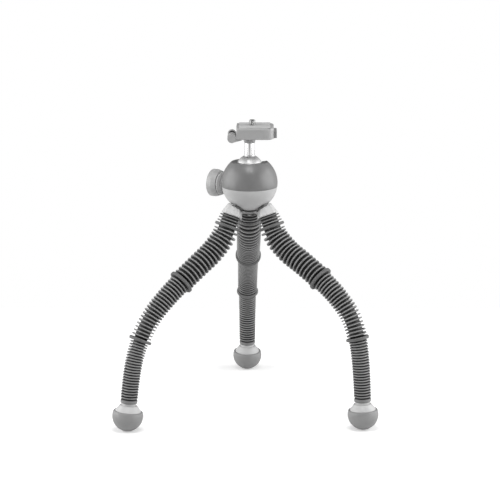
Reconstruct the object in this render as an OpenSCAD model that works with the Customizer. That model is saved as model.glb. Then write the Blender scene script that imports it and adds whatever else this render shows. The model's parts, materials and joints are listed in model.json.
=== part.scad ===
// Flexible leg tripod with a ball head.
// Three ribbed legs bend on hidden chains of ball-and-socket links.
// Millimetres, +Z up, origin on the floor under the middle of the hub.

/* [Ball head] */
// Radius of the round housing
housing_r = 28; // [26:0.5:32]
// Height of the housing's centre above the floor
housing_z = 234.3; // [226:0.1:244]
// Wall of the two shells
shell_wall = 3.5; // [2.5:0.1:4.5]
// How far the seam between the shells lies below the housing's centre
seam_drop = 3.5; // [1:0.5:6]
// Radius of the metal ball
ball_r = 13.5; // [12.5:0.1:14]
// Height of the ball's centre above the housing's centre
ball_rise = 15; // [13:0.25:16]
// Height of the housing's flat top above the ball's centre
rim_rise = 7; // [5.5:0.1:7.5]
// Radius of the opening round the stem
opening_r = 12.2; // [11:0.1:12.4]
// Radius of the stem
stem_r = 5.1; // [4:0.1:5.6]
// Radius of the stem's foot on the ball
stem_foot_r = 5.9; // [5.6:0.1:6.3]
// Direction of the notch that the stem tilts into, in degrees from +X
notch_turn = 40; // [40:1:80]
// Radius of the ball cup
cup_r = 17; // [16:0.1:18]

/* [Lock knob] */
// Direction of the knob, in degrees from +X
knob_turn = 150; // [130:1:170]
// How far the knob's axis lies below the housing's centre
knob_drop = 3.8; // [0:0.1:6]
// Radius of the knob
knob_r = 13.75; // [11:0.25:15]
// Distance from the housing to the knob's ring
knob_gap = 1.6; // [1:0.1:6]
// Length of the light cap
knob_cap_len = 12.5; // [6:0.25:14]
// Length of the darker ring behind the cap
knob_ring_len = 3.4; // [2:0.1:4]
// Radius of the lock screw
lock_screw_r = 3; // [2.5:0.1:3]

/* [Clamp] */
// Height of the clamp's underside above the ball's centre
clamp_rise = 31; // [30:0.25:38]
// Width of the clamp, left to right
clamp_w = 36.5; // [34:0.5:44]
// Depth of the clamp, front to back
clamp_d = 34; // [32:0.5:40]
// Height of the clamp's block
clamp_h = 8.5; // [8:0.1:10]
// How far the clamp's middle lies to the right of the stem
clamp_shift = 5; // [4:0.25:8]
// Radius of the clamp's right corners
clamp_corner = 7.5; // [3:0.25:8]
// Width of the quick-release plate
plate_w = 33; // [32:0.5:36]
// Thickness of the plate above the jaws
plate_t = 3; // [2.5:0.1:4]
// Height of the dovetail between the jaws
dovetail_h = 2.4; // [2:0.1:3]
// Widest part of the dovetail
dovetail_w = 28.4; // [27:0.2:31]
// Thickness of the plate's rubber pad
pad_t = 0.8; // [0.6:0.1:1.5]
// Radius of the camera screw, a quarter inch across
camera_screw_r = 3.175; // [3:0.005:3.3]
// How far the camera screw stands above the pad
camera_screw_up = 5.2; // [4.5:0.1:7]
// How far the camera screw lies to the right of the stem
camera_screw_shift = 2.6; // [0:0.1:5]
// Radius of the lever's bar
lever_r = 4.2; // [3.5:0.1:4.4]
// Radius of the lever's pin
lever_pin_r = 1.5; // [1.2:0.1:2]
// Length of the release button
button_len = 20; // [14:0.5:22]
// How far the release button stands out
button_out = 3; // [1.8:0.1:3.4]

/* [Hub] */
// Gap between the housing and the hub's dish
dish_gap = 0.8; // [0.5:0.1:1.5]
// Thickness of the hub's middle
hub_t = 2.2; // [2:0.1:6]
// Radius of a leg lobe where the leg joins it
lobe_r = 10.6; // [10:0.1:11.5]
// Radius of a leg lobe at its crest
lobe_top_r = 6.4; // [6:0.1:9.5]
// Length of a leg lobe
lobe_len = 13.5; // [12:0.25:15]
// Thickness of the cover under the hub
cover_t = 1; // [0.8:0.1:2]
// Radius of the cover under the hub
cover_r = 9; // [8.8:0.1:11]
// Radius of the pan bolt
pan_bolt_r = 4; // [3:0.1:4.5]

/* [Legs] */
// Directions of the left, right and rear legs, in degrees from the front
leg_turn = [-57, 57, 181]; // [-180:0.5:181]
// Distance of the first collar of each leg from the hub's middle
root_r = 26.2; // [25:0.1:28]
// How far that collar lies below the hub's floor
root_drop = 11.4; // [8:0.1:13]
// Length of a leg's root, from the hub to the first collar
root_len = 9.5; // [8.5:0.1:12]
// Lean of all legs at the hub, in degrees from straight down
root_lean = 24; // [18:1:30]
// Lean of the left leg at five stations down its length
left_lean = [53, 54, 45, 24, 7]; // [0:1:70]
// Lean of the right leg at the same stations
right_lean = [59, 57, 42, 12, 3]; // [0:1:70]
// Lean of the rear leg at the same stations
rear_lean = [52, 52, 49, 25, 6]; // [0:1:70]
// Length of the upper run, from the first collar to the second
upper_len = 75; // [67:0.5:82]
// Length of the middle run
middle_len = 71.5; // [64:0.5:79]
// Length of the lower run
lower_len = 62; // [56:0.5:69]
// Ribs in the upper run
upper_ribs = 16; // [10:1:18]
// Ribs in the middle run
middle_ribs = 19; // [10:1:20]
// Ribs in the lower run
lower_ribs = 21; // [10:1:22]
// Rib radius at the start of the upper, middle and lower run
rib_start_r = [12.5, 10.8, 9.2]; // [8:0.1:13]
// Rib radius at the end of the upper, middle and lower run
rib_end_r = [12, 10.2, 8.4]; // [8:0.1:13]
// Radius of the groove between the ribs of each run
groove_r = [8.9, 7.4, 6.3]; // [6:0.1:10]
// Radius of the four collars down the leg
collar_r = [13.2, 13.5, 11.6, 9.3]; // [9:0.1:15]
// Length of a collar
collar_len = 2.8; // [2:0.1:3.4]
// Radius of the ball on the links of each run
link_ball_r = [4.7, 3.7, 3.1]; // [2.8:0.1:5]
// Wall of the links' sockets
link_wall = 1.3; // [1:0.1:1.5]
// Radius of the neck above each ball
link_neck_r = [2.35, 1.85, 1.55]; // [1.4:0.05:2.4]
// Most that one link leans against the next, in degrees
link_swing = 40; // [30:1:42]

/* [Feet] */
// Radius of the rubber foot pad
foot_r = 15.3; // [13:0.1:18]
// Distance from the leg's last collar to the pad's centre
foot_drop = 15; // [13:0.1:18]
// Height of the pad's lip above its centre
foot_lip = 5; // [3:0.1:6]
// Radius of the cap where it enters the pad
foot_cap_r = 12.9; // [11.5:0.1:13]
// Radius of the cap's upper end
foot_cap_top_r = 7.6; // [6.5:0.1:8.5]
// Length of the cap's cone
foot_cap_len = 6.5; // [5.5:0.1:7.5]

/* [Clearances] */
// Gap round a turning shaft
turn_gap = 0.08; // [0.05:0.01:0.1]
// Gap between two sliding or swivelling faces
slide_gap = 0.15; // [0.1:0.01:0.25]
// Gap between soft and loose pieces
loose_gap = 0.35; // [0.3:0.05:0.5]

/* [Hidden] */
$fn = 48;
far = 200;
leg_names = ["left", "right", "rear"];
runs = [0, 1, 2];
links_per_run = 3;
link_count = links_per_run * len(runs);

// Head heights
ball_z = housing_z + ball_rise;
seam_z = housing_z - seam_drop;
rim_z = ball_z + rim_rise;
shell_in_r = housing_r - shell_wall;
dish_r = housing_r + dish_gap;
clamp_z = ball_z + clamp_rise;
jaw_z = clamp_z + clamp_h - dovetail_h;
plate_z = clamp_z + clamp_h + slide_gap;
pad_z = plate_z + plate_t;
top_z = pad_z + pad_t;
knob_z = housing_z - knob_drop;
cup_z = knob_z + lock_screw_r + slide_gap;
cup_lip_drop = 2;
cup_top = ball_z - cup_lip_drop;
cup_room = 0.75;
post_wall = 4;
post_r = cup_r - slide_gap;
tube_wall = 2.4;
tube_r = cup_r + slide_gap + tube_wall;
tube_roof = 4;
shell_flat_cut = 1;
shell_flat_z = housing_z - housing_r + shell_flat_cut;
shell_floor_t = shell_wall;
flange_w = 3;
washer_r = pan_bolt_r + flange_w;
washer_t = 1;
hub_floor = shell_flat_z - washer_t - hub_t;
root_z = hub_floor - root_drop;
bolt_head_r = pan_bolt_r + flange_w;
bolt_head_t = 3.5;
ball_flat = sqrt(ball_r * ball_r - stem_foot_r * stem_foot_r);
shank_r = stem_r - 1.6;
shank_len = 9;
shank_end = 0.4;
shell_screw_r = 1.5;
shell_boss_r = 3.6;
shell_screw_at = cup_r + shell_boss_r;
shell_screw_turns = [for (a = leg_turn) a - 90];
shell_screw_head_r = 2.6;
shell_screw_head_t = 2;
shell_screw_seat = 4;
shell_screw_grip = 6;
cut = 1;

// Stations down a leg, measured from its first collar
first_hinge = 4;
hub_face = -root_len;
run_start = [first_hinge, upper_len, upper_len + middle_len];
run_end = [upper_len, upper_len + middle_len, upper_len + middle_len + lower_len];
sleeve_end = run_end[2];
foot_s = sleeve_end + foot_drop;
collar_s = [0, run_end[0], run_end[1], run_end[2]];
hinge_step = [for (run = runs) (run_end[run] - run_start[run]) / links_per_run];
hinge_s = [for (run = runs, k = [0:links_per_run - 1]) run_start[run] + k * hinge_step[run]];
lean_s = [first_hinge, hinge_s[1], run_end[0], hinge_s[4] + hinge_step[1] / 2, run_end[1],
    hinge_s[link_count - 1]];
lower_leans = [left_lean, right_lean, rear_lean];

// Leans of one leg, eased by one factor so that its foot stands on the floor
function leg_leans(leg, ease) = [root_lean, for (a = lower_leans[leg]) ease * a];

function sinc(a) = abs(a) < 0.001 ? 1 : sin(a) / (a * PI / 180);

// Outward and downward run of a stretch whose lean goes evenly from a to b
function stretch(length, a, b) =
    length * sinc((b - a) / 2) * [sin((a + b) / 2), -cos((a + b) / 2)];

function lean_at(leans, s) = lookup(s, [for (k = [0:len(lean_s) - 1]) [lean_s[k], leans[k]]]);

// Distance from the hub's middle and height of the station s down a leg
function leg_point(leans, s, k = 0) =
    s <= lean_s[0] ? [root_r, root_z] + stretch(s, leans[0], leans[0])
    : k == len(lean_s) - 1 || s <= lean_s[k + 1]
        ? leg_point_at_knot(leans, k) + stretch(s - lean_s[k], leans[k], lean_at(leans, s))
        : leg_point(leans, s, k + 1);

function leg_point_at_knot(leans, k) =
    k == 0 ? [root_r, root_z] + stretch(lean_s[0], leans[0], leans[0])
    : leg_point_at_knot(leans, k - 1) + stretch(lean_s[k] - lean_s[k - 1], leans[k - 1], leans[k]);

// The factor that puts the pad's lowest point on the floor, by halving
function stand_ease(leg, low = 0, high = 1.6, turns = 34) =
    turns == 0 ? (low + high) / 2
    : leg_point(leg_leans(leg, (low + high) / 2), foot_s)[1] > foot_r
        ? stand_ease(leg, low, (low + high) / 2, turns - 1)
        : stand_ease(leg, (low + high) / 2, high, turns - 1);

leans = [for (leg = [0:2]) leg_leans(leg, stand_ease(leg))];

// Hinge points of one leg, with the pad's centre last
function leg_nodes(leg) = [for (s = concat(hinge_s, [foot_s])) leg_point(leans[leg], s)];
leg_hinges = [for (leg = [0:2]) leg_nodes(leg)];

// Length and lean of one straight link
function link_span(leg, k) = leg_hinges[leg][k + 1] - leg_hinges[leg][k];
function link_len(leg, k) = norm(link_span(leg, k));
function link_lean(leg, k) = atan2(link_span(leg, k)[0], -link_span(leg, k)[1]);

function link_run(k) = floor(k / links_per_run);
function socket_r(run) = link_ball_r[run] + slide_gap;
function socket_out_r(run) = socket_r(run) + link_wall;
// The socket's lip stands past the ball's centre by this share of its radius
lip_share = 0.3;
function lip_up(run) = lip_share * socket_r(run);
// Room between the ball's centre and the body above it, for the swinging lip
function neck_len(run) =
    lip_up(run) * cos(link_swing) + socket_out_r(run) * sin(link_swing) + 2 * loose_gap;
function link_body_r(run) = link_neck_r[run] + link_wall;

// Lock knob places, measured along its axis from the housing's middle
knob_in = housing_r + knob_gap;
knob_mid = knob_in + knob_ring_len;
knob_out = knob_mid + knob_cap_len;
knob_neck_r = 8;
knob_ring_step = 2;
lock_screw_seat = 2;
lock_tip_len = 6.5;
lock_tip_r = 1;

// Clamp places
clamp_left = clamp_shift - clamp_w / 2;
clamp_right = clamp_shift + clamp_w / 2;
jaw_inset = 0.5;
jaw_left = clamp_left + jaw_inset;
dovetail_left = clamp_shift - dovetail_w / 2;
dovetail_right = clamp_shift + dovetail_w / 2;
lever_x = clamp_left - lever_r - slide_gap;
lever_z = jaw_z - lever_r - slide_gap;
lever_inset = 0.5;
lever_back = clamp_d / 2 - lever_r - lever_inset;
lever_front = -clamp_d / 2 + lever_inset;
shelf_t = 1.6;
plate_d = clamp_d;
pad_inset = 1;
screw_head_r = 6;
screw_head_t = 1.4;
screw_neck_r = camera_screw_r - loose_gap;
stem_flange = 0.7;
stem_flange_h = 3;
stem_seat = 3;
button_edge = 0.7;
button_wall = 1.5;
button_h = clamp_h - 2 * button_edge;
button_in = clamp_right - dovetail_right - slide_gap - button_wall;
button_travel = 1.5;

// Root axis of a leg and the lobes round it
lobe_top_s = hub_face - lobe_len;
stud_r = 4;
stud_len = 9;
spigot_r = socket_out_r(0);
web_w = 15;
web_rise = 2;
cover_screw_r = 1;
cover_screw_at = pan_bolt_r + 2.6;
cover_screw_turn = 30;
cover_screw_head_r = 1.9;
cover_screw_head_t = 0.8;
cover_screw_grip = 1.6;

light_grey = "#d9d9d9";
mid_grey = "#a8a8a8";
shell_grey = "#bdbdbd";
dark_grey = "#6e6e6e";
rubber_grey = "#5a5a5a";
chrome = "#e6e6ea";
steel = "#b4b4b8";
black = "#3c3c3c";

// Sleeve profile, as pairs of station and radius
function run_ribs(run) = [upper_ribs, middle_ribs, lower_ribs][run];
function run_from(run) = run == 0 ? 0 : run_end[run - 1];
function run_pitch(run) = (run_end[run] - run_from(run) - collar_len) / (run_ribs(run) + 0.5);
function rib_r(run, k) =
    rib_start_r[run] + (rib_end_r[run] - rib_start_r[run]) * (k - 1) / (run_ribs(run) - 1);
function collar_ring(k) = [[collar_s[k] - collar_len / 2, collar_r[k]],
    [collar_s[k] + collar_len / 2, collar_r[k]]];
// A groove a quarter pitch past each collar, then crest and groove by turns
function run_rings(run) = [for (k = [0:run_ribs(run)], crest = [true, false])
    let (s = run_from(run) + collar_len / 2 + (k + (crest ? -0.25 : 0.25)) * run_pitch(run))
    if (k > 0 || !crest) [s, crest ? rib_r(run, k) : groove_r[run]]];
root_ribs = 2;
root_rib_step = 0.4;
sleeve_top = hub_face + slide_gap;
root_pitch = (-collar_len / 2 - sleeve_top) / (root_ribs + 0.25);
root_rings = [for (k = [root_ribs:-1:1], crest = [true, false])
    let (s = -collar_len / 2 - (k - (crest ? 0.25 : 0.75)) * root_pitch)
    [s, crest ? rib_start_r[0] - root_rib_step * k : groove_r[0]]];
outer_rings = concat([[sleeve_top, groove_r[0]]], root_rings,
    [for (run = runs) each concat(collar_ring(run), run_rings(run))], collar_ring(len(runs)));
sleeve_sides = 8;
flat_to_corner = 1 / cos(180 / sleeve_sides);
function bore_r(run) = (socket_out_r(run) + loose_gap + slide_gap) * flat_to_corner;
bore_step = 8;
sleeve_out = sleeve_end + collar_len / 2;
bore_stations = [for (s = [sleeve_out:-bore_step:sleeve_top + bore_step / 4]) s];
// The bore keeps the wider run's radius until its last socket is past
function bore_at(s) = s < hinge_s[2] + bore_step ? bore_r(0)
    : s < hinge_s[5] + bore_step ? bore_r(1) : bore_r(2);
inner_rings = concat([for (s = bore_stations) [s, bore_at(s)]], [[sleeve_top, bore_r(0)]]);
sleeve_rings = concat(outer_rings, inner_rings);

// Node names
leg_nodes_of = function (name) concat([str(name, "_sleeve")],
    [for (k = [1:link_count]) str(name, "_link_", k)],
    [str(name, "_foot_cap"), str(name, "_foot_pad")]);

// Places
module on_leg(leg) {
    rotate([0, 0, leg_turn[leg]]) children();
}

// Puts a child that points down at a station of the leg's straight root
module on_root(leg, s) {
    p = leg_point(leans[leg], s);
    on_leg(leg) translate([0, -p[0], p[1]]) rotate([-root_lean, 0, 0]) children();
}

// Puts a child that points down at the upper hinge of a link
module on_link(leg, k) {
    p = leg_hinges[leg][k];
    on_leg(leg) translate([0, -p[0], p[1]]) rotate([-link_lean(leg, k), 0, 0]) children();
}

// Turns a child that points along +X to the knob's axis
module on_knob() {
    translate([0, 0, knob_z]) rotate([0, 0, knob_turn]) children();
}

// A cylinder along +X from a to b
module rod_x(a, b, r1, r2) {
    translate([a, 0, 0]) rotate([0, 90, 0]) cylinder(h = b - a, r1 = r1, r2 = r2);
}

// A cylinder downwards from a to b
module rod_down(a, b, r1, r2) {
    translate([0, 0, -b]) cylinder(h = b - a, r1 = r2, r2 = r1);
}

module slab(low, high) {
    translate([-far / 2, -far / 2, low]) cube([far, far, high - low]);
}

// Hub
module lobe(leg) {
    on_root(leg, lobe_top_s) rod_down(0, lobe_len, lobe_top_r, lobe_r);
}

module web(leg) {
    on_leg(leg) translate([-web_w / 2, -root_r + lobe_top_r / 2, hub_floor])
        cube([web_w, root_r - lobe_top_r / 2, housing_z - hub_floor]);
}

module hub() {
    color(light_grey) difference() {
        union() {
            difference() {
                union() {
                    for (leg = [0:2]) lobe(leg);
                    intersection() {
                        for (leg = [0:2]) web(leg);
                        slab(hub_floor, shell_flat_z + web_rise);
                    }
                }
                translate([0, 0, housing_z]) sphere(r = dish_r);
            }
            translate([0, 0, hub_floor])
                cylinder(h = shell_flat_z - washer_t - hub_floor, r = washer_r);
        }
        translate([0, 0, hub_floor - cut]) cylinder(h = far, r = pan_bolt_r);
        for (leg = [0:2]) on_root(leg, hub_face - stud_len) rod_down(0, stud_len + cut, stud_r, stud_r);
        cover_screw_places() translate([0, 0, -cut]) cylinder(h = cut + cover_screw_grip, r = cover_screw_r);
    }
}

module cover_screw_places() {
    for (k = [0:2]) rotate([0, 0, 120 * k + cover_screw_turn])
        translate([cover_screw_at, 0, hub_floor]) children();
}

module hub_cover() {
    color(black) difference() {
        translate([0, 0, hub_floor - cover_t]) cylinder(h = cover_t, r = cover_r);
        cover_screw_places() translate([0, 0, -cover_t - cut])
            cylinder(h = cover_t + 2 * cut, r = cover_screw_r);
    }
}

module cover_screws() {
    color(steel) cover_screw_places() translate([0, 0, -cover_t - cover_screw_head_t]) {
        cylinder(h = cover_screw_head_t, r = cover_screw_head_r);
        cylinder(h = cover_screw_head_t + cover_t + cover_screw_grip, r = cover_screw_r);
    }
}

module root_studs() {
    color(steel) for (leg = [0:2]) on_root(leg, hub_face) {
        rod_down(-stud_len, cut, stud_r, stud_r);
        rod_down(0, first_hinge - hub_face - neck_len(0), spigot_r, spigot_r);
        rod_down(0, first_hinge - hub_face, link_neck_r[0], link_neck_r[0]);
        translate([0, 0, hub_face - first_hinge]) sphere(r = link_ball_r[0]);
    }
}

module pan_bolt() {
    color(steel) union() {
        translate([0, 0, hub_floor])
            cylinder(h = shell_flat_z + shell_floor_t + cut - hub_floor, r = pan_bolt_r);
        translate([0, 0, shell_flat_z + shell_floor_t + slide_gap])
            cylinder(h = bolt_head_t, r = bolt_head_r);
    }
}

module pan_washer() {
    color(black) translate([0, 0, shell_flat_z - washer_t]) difference() {
        cylinder(h = washer_t, r = washer_r);
        translate([0, 0, -cut]) cylinder(h = washer_t + 2 * cut, r = pan_bolt_r + turn_gap);
    }
}

// Ball head
module shell_screw_places() {
    for (a = shell_screw_turns) rotate([0, 0, a]) translate([shell_screw_at, 0, 0]) children();
}

module lower_shell() {
    slot_r = lock_screw_r + loose_gap;
    color(shell_grey) difference() {
        intersection() {
            translate([0, 0, housing_z]) sphere(r = housing_r);
            union() {
                difference() {
                    slab(shell_flat_z, seam_z);
                    intersection() {
                        translate([0, 0, housing_z]) sphere(r = shell_in_r);
                        slab(shell_flat_z + shell_floor_t, housing_z);
                    }
                }
                translate([0, 0, shell_flat_z]) difference() {
                    cylinder(h = cup_z - slide_gap - shell_flat_z, r = post_r);
                    translate([0, 0, shell_floor_t]) cylinder(h = far, r = post_r - post_wall);
                }
                intersection() {
                    shell_screw_places() cylinder(h = seam_z, r = shell_boss_r);
                    slab(shell_flat_z, seam_z);
                }
            }
        }
        translate([0, 0, shell_flat_z - cut]) cylinder(h = far, r = pan_bolt_r + turn_gap);
        on_knob() rod_x(0, far, lock_screw_r + turn_gap, lock_screw_r + turn_gap);
        on_knob() rod_x(0, tube_r, slot_r, slot_r);
        on_knob() translate([0, -slot_r, 0]) cube([tube_r, 2 * slot_r, slot_r + cut]);
        shell_screw_places() translate([0, 0, shell_flat_z]) {
            cylinder(h = far, r = shell_screw_r);
            cylinder(h = seam_z - shell_screw_seat - shell_flat_z, r = shell_screw_head_r + turn_gap);
        }
    }
}

module upper_shell() {
    notch_r = stem_foot_r + 2 * loose_gap;
    color(dark_grey) difference() {
        intersection() {
            translate([0, 0, housing_z]) sphere(r = housing_r);
            slab(seam_z, rim_z);
        }
        translate([0, 0, ball_z]) sphere(r = ball_r + slide_gap);
        translate([0, 0, ball_z]) cylinder(h = far, r = opening_r);
        translate([0, 0, seam_z - cut]) cylinder(h = cup_top + cut - seam_z, r = cup_r + slide_gap);
        difference() {
            intersection() {
                translate([0, 0, housing_z]) sphere(r = shell_in_r);
                slab(seam_z - cut, cup_top - tube_roof);
            }
            cylinder(h = far * 2, r = tube_r);
            shell_screw_places() cylinder(h = far * 2, r = shell_boss_r);
        }
        translate([0, 0, ball_z]) rotate([0, 0, notch_turn]) {
            rod_x(0, far, notch_r, notch_r);
            translate([0, -notch_r, 0]) cube([far, 2 * notch_r, far]);
        }
        on_knob() rod_x(0, far, lock_screw_r + turn_gap, lock_screw_r + turn_gap);
        shell_screw_places() translate([0, 0, seam_z - cut])
            cylinder(h = cut + shell_screw_grip, r = shell_screw_r);
    }
}

module shell_screws() {
    color(steel) shell_screw_places() translate([0, 0, seam_z - shell_screw_seat - shell_screw_head_t]) {
        cylinder(h = shell_screw_head_t, r = shell_screw_head_r);
        cylinder(h = shell_screw_head_t + shell_screw_seat + shell_screw_grip, r = shell_screw_r);
    }
}

module ball_cup() {
    notch_r = stem_foot_r + 2 * loose_gap;
    color(black) difference() {
        translate([0, 0, cup_z]) cylinder(h = cup_top - cup_room - cup_z, r = cup_r);
        translate([0, 0, ball_z]) sphere(r = ball_r + loose_gap);
        translate([0, 0, ball_z]) rotate([0, 0, notch_turn]) rod_x(0, far, notch_r, notch_r);
    }
}

// Lock knob, on the screw that lifts the cup
module lock_screw() {
    tip = cup_r - lock_tip_len;
    color(steel) on_knob() union() {
        rod_x(cup_r, knob_in + lock_screw_seat, lock_screw_r, lock_screw_r);
        rod_x(tip, cup_r, lock_tip_r, lock_screw_r);
    }
}

module knob_ring() {
    ring_r = knob_r - knob_ring_step;
    color(dark_grey) on_knob() difference() {
        union() {
            rod_x(knob_in, knob_mid, ring_r, ring_r);
            rod_x(housing_r + loose_gap, knob_in + cut, knob_neck_r, knob_neck_r);
        }
        rod_x(0, knob_in + lock_screw_seat, lock_screw_r, lock_screw_r);
    }
}

module knob_cap() {
    dome_r = 2.4 * knob_r;
    color(light_grey) on_knob() intersection() {
        rod_x(knob_mid, knob_out, knob_r, knob_r);
        translate([knob_out - dome_r, 0, 0]) sphere(r = dome_r);
    }
}

// Ball and stem
module ball() {
    color(chrome) translate([0, 0, ball_z]) difference() {
        sphere(r = ball_r);
        translate([0, 0, ball_flat]) cylinder(h = far, r = ball_r);
        translate([0, 0, ball_flat - shank_len]) cylinder(h = far, r = shank_r + turn_gap);
    }
}

module stem() {
    foot_z = ball_flat + turn_gap;
    foot_h = 2;
    flare_h = 2.6;
    flange_r = stem_r + stem_flange;
    flange_z = clamp_rise - stem_flange_h;
    color(chrome) translate([0, 0, ball_z]) union() {
        translate([0, 0, ball_flat - shank_len + shank_end]) cylinder(h = shank_len, r = shank_r);
        translate([0, 0, foot_z]) cylinder(h = foot_h, r1 = stem_foot_r, r2 = stem_r);
        translate([0, 0, foot_z]) cylinder(h = clamp_rise - foot_z, r = stem_r);
        translate([0, 0, flange_z - flare_h]) cylinder(h = flare_h, r1 = stem_r, r2 = flange_r);
        translate([0, 0, flange_z]) cylinder(h = stem_flange_h, r = flange_r);
        translate([0, 0, clamp_rise - cut]) cylinder(h = cut + stem_seat, r = shank_r);
    }
}

// Clamp
module clamp_outline() {
    union() {
        translate([clamp_left, -clamp_d / 2]) square([clamp_w - clamp_corner, clamp_d]);
        translate([clamp_left, -clamp_d / 2 + clamp_corner]) square([clamp_w, clamp_d - 2 * clamp_corner]);
        for (side = [-1, 1])
            translate([clamp_right - clamp_corner, side * (clamp_d / 2 - clamp_corner)])
                circle(r = clamp_corner);
    }
}

// Section of the channel that the plate and the moving jaw run in, front to back
module channel_outline() {
    polygon([[jaw_left - far, jaw_z - slide_gap], [dovetail_right + slide_gap, jaw_z - slide_gap],
        [dovetail_right + slide_gap, jaw_z],
        [dovetail_right + slide_gap - dovetail_h, jaw_z + dovetail_h],
        [dovetail_right + slide_gap - dovetail_h, jaw_z + far],
        [jaw_left - far, jaw_z + far]]);
}

module along_y(from, to) {
    translate([0, to, 0]) rotate([90, 0, 0]) linear_extrude(height = to - from) children();
}

module clamp_body() {
    color(mid_grey) difference() {
        union() {
            translate([0, 0, clamp_z]) linear_extrude(height = clamp_h) clamp_outline();
            translate([lever_x, lever_back, clamp_z]) cylinder(h = shelf_t, r = lever_r);
            translate([lever_x, lever_back - lever_r, clamp_z])
                cube([clamp_left + cut - lever_x, 2 * lever_r, shelf_t]);
        }
        along_y(-clamp_d, clamp_d) channel_outline();
        translate([0, 0, clamp_z - cut]) cylinder(h = cut + stem_seat, r = shank_r);
        translate([lever_x, lever_back, clamp_z - cut]) cylinder(h = shelf_t + 2 * cut, r = lever_pin_r);
        translate([clamp_right - button_in, -button_len / 2 - slide_gap, clamp_z + button_edge - slide_gap])
            cube([far, button_len + 2 * slide_gap, button_h + 2 * slide_gap]);
    }
}

module moving_jaw() {
    color(mid_grey) along_y(-plate_d / 2, plate_d / 2) polygon([
        [jaw_left, jaw_z], [dovetail_left - slide_gap, jaw_z],
        [dovetail_left - slide_gap + dovetail_h, jaw_z + dovetail_h], [jaw_left, jaw_z + dovetail_h]]);
}

module clamp_lever() {
    bore_r = lever_pin_r + turn_gap;
    low = clamp_z + shelf_t + slide_gap;
    color(mid_grey) difference() {
        union() {
            translate([lever_x, 0, lever_z]) rotate([90, 0, 0])
                translate([0, 0, -lever_back]) cylinder(h = lever_back - lever_front, r = lever_r);
            translate([lever_x, lever_back, lever_z]) sphere(r = lever_r);
        }
        translate([lever_x - far / 2, lever_back - lever_r - loose_gap, clamp_z - far])
            cube([far, far, low - clamp_z + far]);
        translate([lever_x, lever_back, 0]) cylinder(h = 2 * far, r = bore_r);
    }
}

module lever_pin() {
    color(steel) translate([lever_x, lever_back, clamp_z])
        cylinder(h = lever_z + lever_r - lever_inset - clamp_z, r = lever_pin_r);
}

module release_button() {
    color(black) translate([clamp_right - button_in + button_travel + slide_gap, -button_len / 2,
        clamp_z + button_edge])
        cube([button_in + button_out - button_travel - slide_gap, button_len, button_h]);
}

module quick_plate() {
    neck_top = plate_z + cut;
    color(mid_grey) difference() {
        union() {
            translate([clamp_shift - plate_w / 2, -plate_d / 2, plate_z]) cube([plate_w, plate_d, plate_t]);
            along_y(-plate_d / 2, plate_d / 2) polygon([[dovetail_left, jaw_z], [dovetail_right, jaw_z],
                [dovetail_right - dovetail_h, jaw_z + dovetail_h],
                [dovetail_right - dovetail_h, neck_top],
                [dovetail_left + dovetail_h, neck_top],
                [dovetail_left + dovetail_h, jaw_z + dovetail_h]]);
        }
        translate([camera_screw_shift, 0, jaw_z - cut]) {
            cylinder(h = far, r = screw_neck_r + turn_gap);
            cylinder(h = cut + screw_head_t + 2 * slide_gap, r = screw_head_r + loose_gap);
        }
    }
}

module plate_pad() {
    color(dark_grey) difference() {
        translate([clamp_shift - plate_w / 2 + pad_inset, -plate_d / 2 + pad_inset, pad_z])
            cube([plate_w - 2 * pad_inset, plate_d - 2 * pad_inset, pad_t]);
        translate([camera_screw_shift, 0, pad_z - cut])
            cylinder(h = pad_t + 2 * cut, r = camera_screw_r + loose_gap);
    }
}

module camera_screw() {
    color(steel) translate([camera_screw_shift, 0, 0]) union() {
        translate([0, 0, jaw_z + slide_gap]) cylinder(h = screw_head_t, r = screw_head_r);
        translate([0, 0, jaw_z + slide_gap]) cylinder(h = top_z + cut - jaw_z, r = screw_neck_r);
        translate([0, 0, top_z + loose_gap]) cylinder(h = camera_screw_up - loose_gap, r = camera_screw_r);
    }
}

// Legs
function ring_points(leg, s, r) =
    let (p = leg_point(leans[leg], s), a = lean_at(leans[leg], s))
    [for (k = [0:sleeve_sides - 1]) let (t = 360 * (k + 0.5) / sleeve_sides)
        [r * cos(t), -p[0] - r * sin(t) * cos(a), p[1] + r * sin(t) * sin(a)]];

// One closed tube, outside down and bore up again
module leg_sleeve(leg) {
    n = len(sleeve_rings);
    m = sleeve_sides;
    points = [for (ring = sleeve_rings) each ring_points(leg, ring[0], ring[1])];
    faces = [for (i = [0:n - 1], k = [0:m - 1], half = [0, 1])
        let (next = (i + 1) % n, turn = (k + 1) % m)
        let (a = i * m + k, b = i * m + turn, c = next * m + turn, d = next * m + k)
        half == 0 ? [a, b, c] : [a, c, d]];
    color(rubber_grey) on_leg(leg) polyhedron(points = points, faces = faces, convexity = 10);
}

module socket_end(run) {
    difference() {
        children();
        sphere(r = socket_r(run));
        slab(lip_up(run), far);
    }
}

// A link with its socket at the top and its ball on the next hinge
module leg_link(leg, k) {
    run = link_run(k);
    last = k == link_count - 1;
    next = last ? run : link_run(k + 1);
    length = link_len(leg, k);
    body_len = last ? length - foot_r + foot_cap_depth : length - neck_len(next);
    color(steel) on_link(leg, k) socket_end(run) union() {
        sphere(r = socket_out_r(run));
        rod_down(0, body_len, link_body_r(run), link_body_r(run));
        if (!last) {
            rod_down(0, length, link_neck_r[next], link_neck_r[next]);
            translate([0, 0, -length]) sphere(r = link_ball_r[next]);
        }
    }
}

// Feet, in the last link's frame
foot_cap_depth = 8;
foot_neck_step = 0.8;
foot_neck_r = foot_cap_top_r - foot_neck_step;
foot_seat_depth = 5;
foot_seat_r = foot_cap_r - 2;

module on_foot(leg) {
    on_link(leg, link_count - 1) translate([0, 0, -link_len(leg, link_count - 1)]) children();
}

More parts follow.
